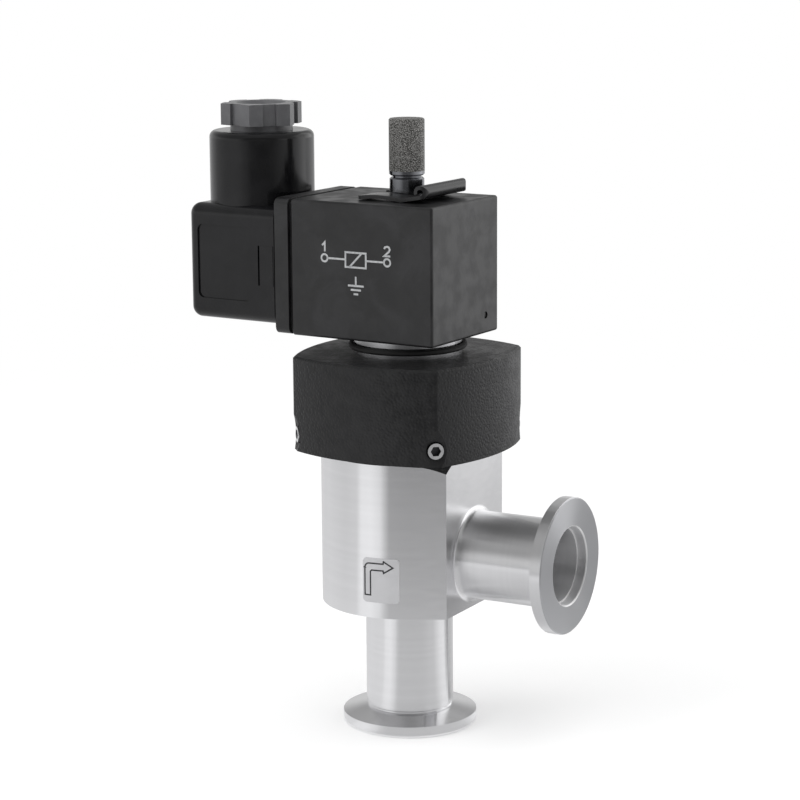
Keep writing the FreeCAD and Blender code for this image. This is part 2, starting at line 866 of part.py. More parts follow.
def coil_clip():
    """Forked spring clip: a bowed blade with a rolled finger grip."""
    half = clip_sheet / 2
    rest = coil_top + half + seat_gap
    tip = vec(-clip_tip, 0, rest)
    crown = vec(0, 0, rest + clip_bow)
    roll_radius = clip_roll_radius - half
    rise_angle = math.radians(clip_rise)
    roll_x = clip_roll_x
    roll_z = rest + clip_roll_radius + clip_roll_lift
    roll = vec(roll_x, 0, roll_z)

    def on_roll(angle):
        return roll + vec(roll_radius * math.cos(angle), 0, roll_radius * math.sin(angle))

    start = on_roll(rise_angle - math.pi / 2)
    run = (start.z - rest) / math.tan(rise_angle)
    foot = vec(start.x - run, 0, rest)
    edges = [
        Part.Arc(tip, crown, foot).toShape(),
        Part.LineSegment(foot, start).toShape(),
        Part.Arc(start, on_roll(math.radians(clip_curl_middle)),
                 on_roll(math.radians(clip_curl_end))).toShape(),
    ]
    path = Part.Wire(edges)
    band = path.makeOffset2D(half, 0, False, True)
    other = path.makeOffset2D(-half, 0, False, True)
    ends = []
    for i in (0, -1):
        a = band.OrderedVertexes[i].Point
        b = min((v.Point for v in other.Vertexes), key=lambda p: p.distanceToPoint(a))
        ends.append(Part.LineSegment(a, b).toShape())
    face = Part.Face(Part.Wire(Part.__sortEdges__(band.Edges + other.Edges + ends)))
    blade = face.extrude(vec(0, 2 * clip_half_width, 0))
    blade = moved(blade, 0, -clip_half_width, 0)
    slot_half = clip_groove_radius + loose_fit
    slot = block(-clip_tip - overcut, 0, -slot_half, slot_half, coil_top, stub_top)
    slot = slot.fuse(cylinder(slot_half, coil_top, stub_top))
    box = blade.BoundBox
    outline = block(box.XMin, box.XMax, box.YMin, box.YMax,
                    box.ZMin - overcut, box.ZMax + overcut)
    outline = outline.makeFillet(clip_corner, edges_along(outline, 2))
    return blade.cut(slot).common(outline)


def silencer_plug():
    """Threaded metal end of the silencer."""
    groove_top = stub_top + silencer_groove_height
    collar_top = groove_top + silencer_ring_height
    taper = silencer_ring_height / 3
    shape = turned([
        (exhaust_radius, stub_top - silencer_thread_length),
        (stub_thread_radius, stub_top - silencer_thread_length),
        (stub_thread_radius, stub_top),
        (silencer_groove_radius, stub_top),
        (silencer_groove_radius, groove_top),
        (silencer_radius - taper, groove_top),
        (silencer_radius, groove_top + taper),
        (silencer_radius, collar_top),
        (exhaust_radius, collar_top),
    ])
    return shape


def silencer_element():
    low = stub_top + silencer_groove_height + silencer_ring_height
    high = low + silencer_length
    shape = cylinder(silencer_radius, low, high)
    shape = shape.makeChamfer(edge_break, top_edges(shape, high))
    return shape.cut(cylinder(silencer_radius - silencer_wall, low - overcut, high - silencer_wall))


# Cable plug

def plug_gasket():
    inset = gasket_thickness / 2
    half = plug_half_width - inset
    shape = block(plug_start, collar_end, -half, half, plug_bottom + inset, plug_top - inset)
    for blade in blade_boxes(loose_fit):
        shape = shape.cut(blade)
    hole = cylinder_x(plug_screw_radius + loose_fit, plug_start - overcut, collar_end + overcut,
                      0, plug_centre_height)
    return shape.cut(hole)


def insert_block(margin):
    half = plug_half_width - plug_wall - margin
    low = plug_bottom + plug_wall + margin
    return block(plug_start - insert_length, plug_start, -half, half, low, low + insert_height)


def terminal_positions():
    """Start of each terminal screw: above the two live blades and above the earth blade."""
    x = plug_start - insert_length / 2
    spread = blade_spacing / 2 - 2 * terminal_radius
    return [(x, -spread), (x, spread), (x, 0.0)]


def terminal_insert():
    shape = insert_block(seat_gap)
    for blade in blade_boxes(loose_fit):
        shape = shape.cut(blade)
    hole = cylinder_x(plug_screw_radius + loose_fit, plug_start - insert_length - overcut,
                      plug_start + overcut, 0, plug_centre_height)
    shape = shape.cut(hole)
    top = plug_bottom + plug_wall + seat_gap + insert_height
    for x, y in terminal_positions():
        shape = shape.cut(cylinder(terminal_radius, top - terminal_depth, top + overcut, x, y))
    return shape


def terminal_screws():
    top = plug_bottom + plug_wall + seat_gap + insert_height
    screws = []
    for x, y in terminal_positions():
        head = top - terminal_sink
        screw = cylinder(terminal_radius, top - terminal_depth, head, x, y)
        slot = block(x - terminal_radius, x + terminal_radius, y - screw_slot_width / 2,
                     y + screw_slot_width / 2, head - screw_slot_depth, top)
        screws.append(screw.cut(slot))
    return Part.makeCompound(screws)


def screw_ring():
    """Ring under the head of the plug's screw."""
    height = plug_centre_height
    disc = cylinder_x(plug_screw_head_radius - seat_gap, plug_screw_bearing, plug_screw_floor,
                      0, height)
    return disc.cut(cylinder_x(plug_screw_radius + running_clearance, plug_end, plug_start,
                               0, height))


def plug_screw():
    face = plug_end + plug_screw_sink
    bearing = plug_screw_bearing
    height = plug_centre_height
    head = cylinder_x(plug_screw_head_radius, face, bearing, 0, height)
    shank = cylinder_x(plug_screw_radius, bearing - overlap, collar_end + plug_screw_grip, 0, height)
    reach = plug_screw_head_radius + overcut
    slot = block(face - overcut, face + screw_slot_depth, -screw_slot_width / 2, screw_slot_width / 2,
                 height - reach, height + reach)
    return head.fuse(shank).cut(slot).removeSplitter()


def plug_housing():
    half = plug_half_width
    body = block(plug_end, plug_start, -half, half, plug_bottom, plug_top)
    closed_side = [edge for edge in body.Edges if edge.BoundBox.XMin < plug_start - 0.001]
    body = body.makeFillet(plug_edge, closed_side)
    tower = cylinder(tower_radius, plug_top - plug_edge, tower_top, plug_middle)
    tower = tower.makeFillet(tower_edge, top_edges(tower, tower_top))
    shape = body.fuse(tower)
    inner = plug_half_width - plug_wall
    cavity = block(plug_end + plug_wall, plug_start + overcut, -inner, inner,
                   plug_bottom + plug_wall, plug_top - plug_wall)
    shape = shape.cut(cavity)
    gland_bore = cylinder(gland_bore_radius, gland_ledge_height, tower_top + overcut, plug_middle)
    passage = cylinder(gland_passage_radius, plug_top - plug_wall - overcut, tower_top,
                       plug_middle)
    shape = shape.cut(gland_bore.fuse(passage))
    boss = cylinder_x(plug_screw_head_radius + plug_wall, plug_end + plug_edge,
                      plug_screw_floor + plug_wall, 0, plug_centre_height)
    shape = shape.fuse(boss)
    recess = cylinder_x(plug_screw_head_radius + loose_fit, plug_end - overcut,
                        plug_screw_floor, 0, plug_centre_height)
    hole = cylinder_x(plug_screw_radius + loose_fit, plug_end, plug_start, 0, plug_centre_height)
    shape = shape.cut(recess.fuse(hole))
    shape = shape.cut(side_panels())
    return with_latches(shape).removeSplitter()


def side_panels():
    """Shallow recessed fields on the two broad sides of the plug."""
    start = plug_end + panel_inset
    low = plug_bottom + panel_low
    fields = []
    for side in (-1, 1):
        outer = side * (plug_half_width + overcut)
        inner = side * (plug_half_width - panel_depth)
        field = block(start, start + panel_length, min(outer, inner), max(outer, inner),
                      low, low + panel_height)
        fields.append(field.makeFillet(panel_corner, edges_along(field, 1)))
    return Part.makeCompound(fields)


def with_latches(shape):
    """The slot and raised tongue of the insert's snap latch, on both broad sides."""
    x = plug_start - latch_inset
    low = plug_bottom + latch_low
    high = low + latch_height
    for side in (-1, 1):
        face = side * plug_half_width
        raised = side * (plug_half_width + latch_rise)
        deep = side * (plug_half_width - plug_wall / 2)
        tongue = block(x, plug_start - edge_break, min(face - side * overlap, raised),
                       max(face - side * overlap, raised), low, high)
        slot = block(x - latch_slot, x, min(deep, 2 * raised), max(deep, 2 * raised), low, high)
        shape = shape.fuse(tongue).cut(slot)
    return shape


# Cable gland

def at_gland(shape):
    return moved(shape, plug_middle, 0, 0)


def gland_seal():
    inner = gland_hole_radius - loose_fit
    return at_gland(ring(gland_bore_radius - running_clearance, inner,
                         gland_ledge_height, gland_washer_bottom))


def gland_washer():
    return at_gland(ring(gland_bore_radius - running_clearance, gland_hole_radius,
                         gland_washer_bottom, gland_spigot_bottom))


def gland_nut():
    head_top = gland_head_bottom + gland_head_height
    head = hexagon(gland_flats, gland_head_bottom, head_top, 0)
    half = gland_notch_width / 2
    for i in range(6):
        notch = block(gland_flats / 2 - gland_notch_depth, gland_flats, -half, half,
                      gland_head_bottom - overcut, head_top + overcut)
        notch.rotate(vec(0, 0, 0), vec(0, 0, 1), 60 * i)
        head = head.cut(notch)
    crown = turned([
        (0, gland_head_bottom - overcut),
        (gland_flats, gland_head_bottom - overcut),
        (gland_flats, head_top - gland_crown_depth),
        (gland_flats / math.sqrt(3) - gland_crown_edge, head_top),
        (0, head_top),
    ])
    head = head.common(crown)
    head.rotate(vec(0, 0, 0), vec(0, 0, 1), gland_turn - 90)
    spigot = cylinder(gland_spigot_radius, gland_spigot_bottom, gland_head_bottom + overcut)
    shape = head.fuse(spigot)
    shape = shape.cut(cylinder(gland_hole_radius, gland_spigot_bottom - overcut, head_top + overcut))
    mouth_depth = gland_mouth_radius - gland_hole_radius
    mouth = Part.makeCone(gland_hole_radius, gland_mouth_radius, mouth_depth + 0.001,
                          vec(0, 0, head_top - mouth_depth))
    return at_gland(shape.cut(mouth).removeSplitter())


# Flow label

def flow_label():
    """Thin plate that follows the round of the body."""
    low = body_bottom + label_low
    sheet = ring(body_radius + label_thickness, body_radius, low, low + label_height)
    half = body_radius * math.sin(math.radians(label_sweep / 2))
    window = block(-half, half, -body_radius - overcut, -body_radius / 2,
                   low, low + label_height)
    window = window.makeFillet(label_corner, edges_along(window, 1))
    window.rotate(vec(0, 0, 0), vec(0, 0, 1), label_middle)
    return sheet.common(window)


def body_pieces():
    return {
        "valve_body": valve_body(),
        "valve_plate": valve_plate(),
        "plate_o_ring": plate_o_ring(),
        "stem": stem(),
        "bellows": bellows(),
        "bonnet": bonnet(),
        "bonnet_o_ring": bonnet_o_ring(),
        "guide_bush": guide_bush(),
        "stem_seal": stem_seal(),
        "cylinder_liner": cylinder_liner(),
        "piston": piston(),
        "piston_seal": piston_seal(),
        "stem_nut": stem_nut(),
        "return_spring": return_spring(),
        "flow_label": flow_label(),
    }


def actuator_pieces():
    return {
        "actuator_cap": actuator_cap(),
        "cap_screws": cap_screws(),
        "pilot_base": pilot_base(),
        "base_o_ring": base_o_ring(),
        "pilot_nozzle": pilot_nozzle(),
        "armature_tube": armature_tube(),
        "fixed_core": fixed_core(),
        "plunger": plunger(),
        "plunger_seals": plunger_seals(),
        "plunger_spring": plunger_spring(),
        "coil_bobbin": coil_bobbin(),
        "coil_winding": coil_winding(),
        "coil_yoke": coil_yoke(),
        "coil_housing": coil_housing(),
        "contact_blades": contact_blades(),
        "coil_clip": coil_clip(),
        "silencer_plug": silencer_plug(),
        "silencer_element": silencer_element(),
        "plug_gasket": plug_gasket(),
        "terminal_insert": terminal_insert(),
        "terminal_screws": terminal_screws(),
        "screw_ring": screw_ring(),
        "plug_screw": plug_screw(),
        "plug_housing": plug_housing(),
        "gland_seal": gland_seal(),
        "gland_washer": gland_washer(),
        "gland_nut": gland_nut(),
    }


def main():
    pieces = body_pieces()
    for name, shape in actuator_pieces().items():
        shape.rotate(vec(0, 0, 0), vec(0, 0, 1), actuator_turn)
        pieces[name] = shape
    os.makedirs("parts", exist_ok=True)
    for name, shape in pieces.items():
        shape.exportStep("parts/" + name + ".step")


main()
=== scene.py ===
import json
import math

import bmesh
import bpy
from mathutils import Matrix, Vector


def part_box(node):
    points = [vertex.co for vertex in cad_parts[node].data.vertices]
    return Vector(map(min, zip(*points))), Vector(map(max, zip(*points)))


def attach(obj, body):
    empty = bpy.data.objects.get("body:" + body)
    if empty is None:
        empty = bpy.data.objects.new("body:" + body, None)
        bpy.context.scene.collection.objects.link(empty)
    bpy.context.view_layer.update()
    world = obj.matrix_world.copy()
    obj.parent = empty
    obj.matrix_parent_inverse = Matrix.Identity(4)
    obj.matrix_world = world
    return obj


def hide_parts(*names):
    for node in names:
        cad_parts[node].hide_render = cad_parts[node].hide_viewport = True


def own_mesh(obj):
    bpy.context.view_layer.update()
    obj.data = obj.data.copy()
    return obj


# Looks for a right-angle vacuum valve with a solenoid pilot and its cable plug.
# Metres throughout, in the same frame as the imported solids.

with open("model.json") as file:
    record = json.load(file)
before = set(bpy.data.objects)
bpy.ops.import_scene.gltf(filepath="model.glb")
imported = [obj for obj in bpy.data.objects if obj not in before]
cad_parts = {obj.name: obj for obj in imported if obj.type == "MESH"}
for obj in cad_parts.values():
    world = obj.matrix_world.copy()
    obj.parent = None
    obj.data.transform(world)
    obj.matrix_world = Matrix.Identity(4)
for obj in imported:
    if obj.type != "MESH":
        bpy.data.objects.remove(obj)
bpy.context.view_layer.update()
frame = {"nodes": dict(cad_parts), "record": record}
cadNodes = frame["nodes"]
scene = bpy.context.scene

mm = 0.001
actuatorTurn = math.radians(-3.0)    # the actuator sits turned a little on the body
outletHeight = 0.0403
white = (1.0, 1.0, 1.0)

scene.view_settings.view_transform = "Standard"


# node helpers

def addNode(tree, kind, **settings):
    node = tree.nodes.new(kind)
    for key, value in settings.items():
        setattr(node, key, value)
    return node


def feed(tree, socket, value):
    # numbers, places and colours are set on the socket, an output is linked to it
    if isinstance(value, (int, float)):
        socket.default_value = value
    elif isinstance(value, tuple):
        opaque = (1.0,) * (len(socket.default_value) - len(value))
        socket.default_value = value + opaque
    else:
        tree.links.new(value, socket)


def feedAll(tree, node, values):
    for name, value in values.items():
        feed(tree, node.inputs[name], value)


def newMaterial(name, shaderKind="ShaderNodeBsdfPrincipled"):
    material = bpy.data.materials.new(name)
    material.use_nodes = True
    tree = material.node_tree
    tree.nodes.clear()
    output = tree.nodes.new("ShaderNodeOutputMaterial")
    shader = tree.nodes.new(shaderKind)
    tree.links.new(shader.outputs[0], output.inputs["Surface"])
    return material, tree, shader


def mathNode(tree, operation, *values):
    node = addNode(tree, "ShaderNodeMath", operation=operation)
    for socket, value in zip(node.inputs, values):
        feed(tree, socket, value)
    return node.outputs[0]


def vectorNode(tree, operation, *values):
    node = addNode(tree, "ShaderNodeVectorMath", operation=operation)
    for socket, value in zip(node.inputs, values):
        feed(tree, socket, value)
    return node.outputs["Value" if operation in ("LENGTH", "DOT_PRODUCT") else "Vector"]


# where the mix node keeps its factor, first and second sockets, and its result
mixSockets = {"FLOAT": ((0, 2, 3), 0), "VECTOR": ((0, 4, 5), 1), "RGBA": ((0, 6, 7), 2)}


def mixNode(tree, kind, factor, first, second):
    places, result = mixSockets[kind]
    node = addNode(tree, "ShaderNodeMix", data_type=kind)
    for place, value in zip(places, (factor, first, second)):
        feed(tree, node.inputs[place], value)
    return node.outputs[result]


def mixColour(tree, factor, first, second):
    return mixNode(tree, "RGBA", factor, first, second)


def rangeNode(tree, value, fromBand, toBand=(0.0, 1.0), kind="SMOOTHSTEP"):
    node = addNode(tree, "ShaderNodeMapRange", interpolation_type=kind, clamp=True)
    feedAll(tree, node, {"Value": value, "From Min": fromBand[0], "From Max": fromBand[1],
                         "To Min": toBand[0], "To Max": toBand[1]})
    return node.outputs["Result"]


def textureNode(tree, kind, vector, scale, **details):
    node = tree.nodes.new("ShaderNodeTex" + kind)
    feedAll(tree, node, {"Vector": vector, "Scale": scale, **details})
    return node.outputs


def bumpNode(tree, height, strength, distance):
    node = tree.nodes.new("ShaderNodeBump")
    feedAll(tree, node, {"Height": height, "Strength": strength, "Distance": distance})
    return node.outputs["Normal"]


def splitVector(tree, vector):
    node = tree.nodes.new("ShaderNodeSeparateXYZ")
    tree.links.new(vector, node.inputs["Vector"])
    return node.outputs


def objectPosition(tree):
    return tree.nodes.new("ShaderNodeTexCoord").outputs["Object"]


def newGroup(name, inputs, outputs):
    # inputs and outputs give the kind of each named socket
    group = bpy.data.node_groups.new(name, "ShaderNodeTree")
    for direction, sockets in (("INPUT", inputs), ("OUTPUT", outputs)):
        for socketName, kind in sockets.items():
            group.interface.new_socket(name=socketName, in_out=direction,
                                       socket_type="NodeSocket" + kind)
    return group, group.nodes.new("NodeGroupInput").outputs, group.nodes.new("NodeGroupOutput")


def placeGroup(tree, group, values):
    node = addNode(tree, "ShaderNodeGroup", node_tree=group)
    feedAll(tree, node, values)
    return node.outputs


# effects that several finishes share

def makeGrainGroup():
    # moulded or cast skin: fine pits with a slower mottling
    spec = {"fineDetail": 3.0, "mottleDetail": 4.0, "pitBand": (0.1, 0.7), "mottleBand": (0.35, 0.65)}
    group, given, result = newGroup(
        "mouldGrain",
        {"Position": "Vector", "Grain Scale": "Float", "Mottle Scale": "Float", "Pit Share": "Float"},
        {"Height": "Float", "Mottle": "Float"})
    cells = textureNode(group, "Voronoi", given["Position"], given["Grain Scale"])
    fine = textureNode(group, "Noise", given["Position"], given["Grain Scale"],
                       Detail=spec["fineDetail"])
    slow = textureNode(group, "Noise", given["Position"], given["Mottle Scale"],
                       Detail=spec["mottleDetail"])
    pits = mathNode(group, "MULTIPLY", rangeNode(group, cells["Distance"], spec["pitBand"]),
                    given["Pit Share"])
    rest = mathNode(group, "SUBTRACT", 1.0, given["Pit Share"])
    height = mathNode(group, "ADD", pits, mathNode(group, "MULTIPLY", fine["Fac"], rest))
    feedAll(group, result, {"Height": height,
                            "Mottle": rangeNode(group, slow["Fac"], spec["mottleBand"])})
    return group


def makeTurnedGroup():
    # tool marks of a lathe: fine lines that run round an axis, and a slower tone
    spec = {"fineDetail": 2.0, "slowDetail": 1.0, "slowShare": 0.14}
    group, given, result = newGroup(
        "turnedLines", {"Along": "Float", "Radius": "Float", "Line Scale": "Float"},
        {"Height": "Float", "Tone": "Float"})
    place = group.nodes.new("ShaderNodeCombineXYZ")
    feedAll(group, place, {"X": given["Along"], "Y": given["Radius"]})
    slowScale = mathNode(group, "MULTIPLY", given["Line Scale"], spec["slowShare"])
    fine = textureNode(group, "Noise", place.outputs["Vector"], given["Line Scale"],
                       Detail=spec["fineDetail"])
    slow = textureNode(group, "Noise", place.outputs["Vector"], slowScale, Detail=spec["slowDetail"])
    feedAll(group, result, {"Height": fine["Fac"], "Tone": slow["Fac"]})
    return group


def makeHandlingGroup():
    # handling marks: slow clouds broken by a finer noise
    spec = {"cloud": {"Detail": 6.0, "Roughness": 0.62, "Distortion": 0.6}, "band": (0.42, 0.68)}
    group, given, result = newGroup("handling", {"Position": "Vector", "Scale": "Float"},
                                    {"Mask": "Float"})
    cloud = textureNode(group, "Noise", given["Position"], given["Scale"], **spec["cloud"])
    feedAll(group, result, {"Mask": rangeNode(group, cloud["Fac"], spec["band"])})
    return group


grainGroup = makeGrainGroup()
turnedGroup = makeTurnedGroup()
handlingGroup = makeHandlingGroup()
print("shared effects made")


# metals

turnedMarks = {"toneBand": (0.3, 0.7), "handlingScale": 45.0, "lineHeight": 0.00002}


def turnedCoordinates(tree, axis, centre):
    # distance along an axis and from it, and the direction that runs round it
    offset = vectorNode(tree, "SUBTRACT", objectPosition(tree), centre)
    along = vectorNode(tree, "DOT_PRODUCT", offset, axis)
    onAxis = addNode(tree, "ShaderNodeVectorMath", operation="SCALE")
    feedAll(tree, onAxis, {"Vector": axis, "Scale": along})
    outward = vectorNode(tree, "SUBTRACT", offset, onAxis.outputs["Vector"])
    radius = vectorNode(tree, "LENGTH", outward)
    return along, radius, vectorNode(tree, "CROSS_PRODUCT", axis, outward)


def turnedSurface(tree, spec, along, radius):
    # colour, roughness and normal of lathe-turned metal with handling marks
    lines = placeGroup(tree, turnedGroup, {"Along": along, "Radius": radius,
                                           "Line Scale": spec["lineScale"]})
    marks = placeGroup(tree, handlingGroup, {"Position": objectPosition(tree),
                                             "Scale": turnedMarks["handlingScale"]})
    tone = rangeNode(tree, lines["Tone"], turnedMarks["toneBand"], kind="LINEAR")
    colour = mixColour(tree, tone, spec["dark"], spec["light"])
    rough = mathNode(tree, "MULTIPLY_ADD", marks["Mask"], spec["roughSpread"], spec["rough"])
    normal = bumpNode(tree, lines["Height"], spec["lineDepth"], turnedMarks["lineHeight"])
    return colour, rough, normal


def acrossMarks(tree, around):
    # tool marks spread the gloss at right angles to themselves
    normal = tree.nodes.new("ShaderNodeNewGeometry").outputs["Normal"]
    return vectorNode(tree, "CROSS_PRODUCT", normal, around)


def makeTurnedMetal(name, spec):
    # turned about the stem's axis
    material, tree, shader = newMaterial(name)
    along, radius, around = turnedCoordinates(tree, (0, 0, 1), (0, 0, 0))
    colour, rough, normal = turnedSurface(tree, spec, along, radius)
    feedAll(tree, shader, {"Base Color": colour, "Metallic": 1.0, "Roughness": rough,
                           "Anisotropic": spec["anisotropy"], "Tangent": acrossMarks(tree, around),
                           "Normal": normal})
    return material


def makeBodyMetal():
    # inlet leg and column are turned about the stem, the outlet leg about its own axis
    spec = {"light": (0.82, 0.82, 0.83), "dark": (0.79, 0.79, 0.80), "faced": (0.55, 0.555, 0.57),
            "rough": 0.155, "roughSpread": 0.03, "legRough": 0.28, "facedRough": 0.30,
            "boredRough": 0.48, "anisotropy": 0.96, "lineScale": 5200.0, "lineDepth": 0.022,
            "legStart": 0.01675, "faceReach": 0.0395, "boreRadius": 0.0088, "recessReach": 0.0371,
            "highlightEdgeBands": ((0.00812, 0.00856), (0.00864, 0.00890)), "paintedEdgeHighlight": (0.96, 0.96, 0.96)}
    material, tree, shader = newMaterial("satinAluminium")
    reach = splitVector(tree, objectPosition(tree))["X"]
    onOutlet = mathNode(tree, "GREATER_THAN", reach, spec["legStart"])
    aboutStem = turnedCoordinates(tree, (0, 0, 1), (0, 0, 0))
    aboutOutlet = turnedCoordinates(tree, (1, 0, 0), (0, 0, outletHeight))
    along, radius, around = [mixNode(tree, kind, onOutlet, stemValue, outletValue)
                             for kind, stemValue, outletValue
                             in zip(("FLOAT", "FLOAT", "VECTOR"), aboutStem, aboutOutlet)]
    colour, rough, normal = turnedSurface(tree, spec, along, radius)
    # the sealing face is faced off coarser, and the bores are left as the drill leaves them
    faced = mathNode(tree, "GREATER_THAN", reach, spec["faceReach"])
    bored = mathNode(tree, "LESS_THAN", radius, spec["boreRadius"])
    for mask, leastRough in ((onOutlet, spec["legRough"]), (faced, spec["facedRough"]),
                             (bored, spec["boredRough"])):
        rough = mathNode(tree, "MAXIMUM", rough, mathNode(tree, "MULTIPLY", mask, leastRough))
    # the broken edges and the floor of the centring recess get a painted highlight: their colour is
    # near white
    highlightBands = [mathNode(tree, "MULTIPLY", mathNode(tree, "GREATER_THAN", radius, low),
                      mathNode(tree, "LESS_THAN", radius, high)) for low, high in spec["highlightEdgeBands"]]
    paintedHighlightMask = mathNode(tree, "MULTIPLY", mathNode(tree, "ADD", *highlightBands),
                      mathNode(tree, "GREATER_THAN", reach, spec["recessReach"]))
    # the sealing face is coloured a darker grey than the rest of the body
    colour = mixColour(tree, faced, colour, spec["faced"])
    feedAll(tree, shader, {"Base Color": mixColour(tree, paintedHighlightMask, colour, spec["paintedEdgeHighlight"]),
                           "Metallic": 1.0, "Roughness": rough, "Anisotropic": spec["anisotropy"],
                           "Tangent": acrossMarks(tree, around), "Normal": normal})
    return material


def makeSocketSteel():
    # bright screw heads on the four corners of the cap, with painted shade darkening their hex
    # sockets
    spec = {"light": (0.86, 0.86, 0.86), "dark": (0.74, 0.74, 0.75), "socket": (0.11, 0.11, 0.115),
            "rough": 0.2, "socketRough": 0.4, "handlingScale": 400.0, "cornerTurn": -45.0,
            "screwHeight": 0.0670, "socketRadius": 0.00122, "headReach": 0.0251}
    material, tree, shader = newMaterial("socketSteel")
    square = addNode(tree, "ShaderNodeVectorRotate", rotation_type="Z_AXIS")
    feedAll(tree, square, {"Vector": objectPosition(tree),
                           "Angle": math.radians(spec["cornerTurn"]) - actuatorTurn})
    place = splitVector(tree, square.outputs["Vector"])
    sideX, sideY = [mathNode(tree, "ABSOLUTE", place[name]) for name in ("X", "Y")]
    across = mathNode(tree, "MINIMUM", sideX, sideY)
    outward = mathNode(tree, "MAXIMUM", sideX, sideY)
    upward = mathNode(tree, "SUBTRACT", place["Z"], spec["screwHeight"])
    away = mathNode(tree, "SQRT", mathNode(tree, "ADD", mathNode(tree, "POWER", across, 2.0),
                                           mathNode(tree, "POWER", upward, 2.0)))
    # painted shade: inside the hex socket the steel is coloured dark grey
    socketShadeMask = mathNode(tree, "MULTIPLY", mathNode(tree, "LESS_THAN", away, spec["socketRadius"]),
                      mathNode(tree, "LESS_THAN", outward, spec["headReach"]))
    marks = placeGroup(tree, handlingGroup, {"Position": objectPosition(tree),
                                             "Scale": spec["handlingScale"]})
    steel = mixColour(tree, marks["Mask"], spec["light"], spec["dark"])
    feedAll(tree, shader, {
        "Base Color": mixColour(tree, socketShadeMask, steel, spec["socket"]), "Metallic": 1.0,
        "Roughness": mathNode(tree, "MULTIPLY_ADD", socketShadeMask, spec["socketRough"], spec["rough"])})
    return material


turnedMetals = {
    "machinedSteel": {
        "light": (0.66, 0.66, 0.67), "dark": (0.56, 0.56, 0.57), "rough": 0.3, "roughSpread": 0.1,
        "anisotropy": 0.5, "lineScale": 5200.0, "lineDepth": 0.12},
    "turnedAluminium": {
        "light": (0.84, 0.85, 0.86), "dark": (0.76, 0.77, 0.78), "rough": 0.26, "roughSpread": 0.08,
        "anisotropy": 0.5, "lineScale": 5200.0, "lineDepth": 0.12},
    "gunmetal": {
        "light": (0.24, 0.245, 0.26), "dark": (0.16, 0.165, 0.175), "rough": 0.15,
        "roughSpread": 0.06, "anisotropy": 0.4, "lineScale": 6000.0, "lineDepth": 0.12},
    "yellowBrass": {
        "light": (0.84, 0.64, 0.33), "dark": (0.72, 0.53, 0.25), "rough": 0.28, "roughSpread": 0.1,
        "anisotropy": 0.4, "lineScale": 5200.0, "lineDepth": 0.1},
    "brightSteel": {
        "light": (0.86, 0.86, 0.86), "dark": (0.74, 0.74, 0.75), "rough": 0.16, "roughSpread": 0.1,
        "anisotropy": 0.2, "lineScale": 7000.0, "lineDepth": 0.06},
    # painted shade: a darker copy of turned aluminium, standing in for the coil's shadow and
    # reflection on the pilot base
    "shadePaintedAluminium": {
        "light": (0.50, 0.50, 0.51), "dark": (0.40, 0.40, 0.41), "rough": 0.22, "roughSpread": 0.08,
        "anisotropy": 0.5, "lineScale": 5200.0, "lineDepth": 0.12},
}
materials = {"satinAluminium": makeBodyMetal(), "socketSteel": makeSocketSteel()}
for materialName, materialSpec in turnedMetals.items():
    materials[materialName] = makeTurnedMetal(materialName, materialSpec)
print("metals made")


# plastics, rubber, film and inks

def makeMoulded(name, spec):
    material, tree, shader = newMaterial(name)
    position = objectPosition(tree)
    grain = placeGroup(tree, grainGroup, {
        "Position": position, "Grain Scale": spec["grainScale"], "Mottle Scale": spec["mottleScale"],
        "Pit Share": spec["pitShare"]})
    marks = placeGroup(tree, handlingGroup, {"Position": position, "Scale": spec["markScale"]})
    clean = mixColour(tree, grain["Mottle"], spec["dark"], spec["light"])
    wear = mathNode(tree, "MULTIPLY", marks["Mask"], spec["markShare"])
    rough = mathNode(tree, "MULTIPLY_ADD", grain["Mottle"], spec["roughSpread"], spec["rough"])
    feedAll(tree, shader, {
        "Base Color": mixColour(tree, wear, clean, spec["markColour"]), "Roughness": rough,
        "Specular IOR Level": spec["specular"],
        "Normal": bumpNode(tree, grain["Height"], spec["grainDepth"], spec["grainHeight"])})
    return material


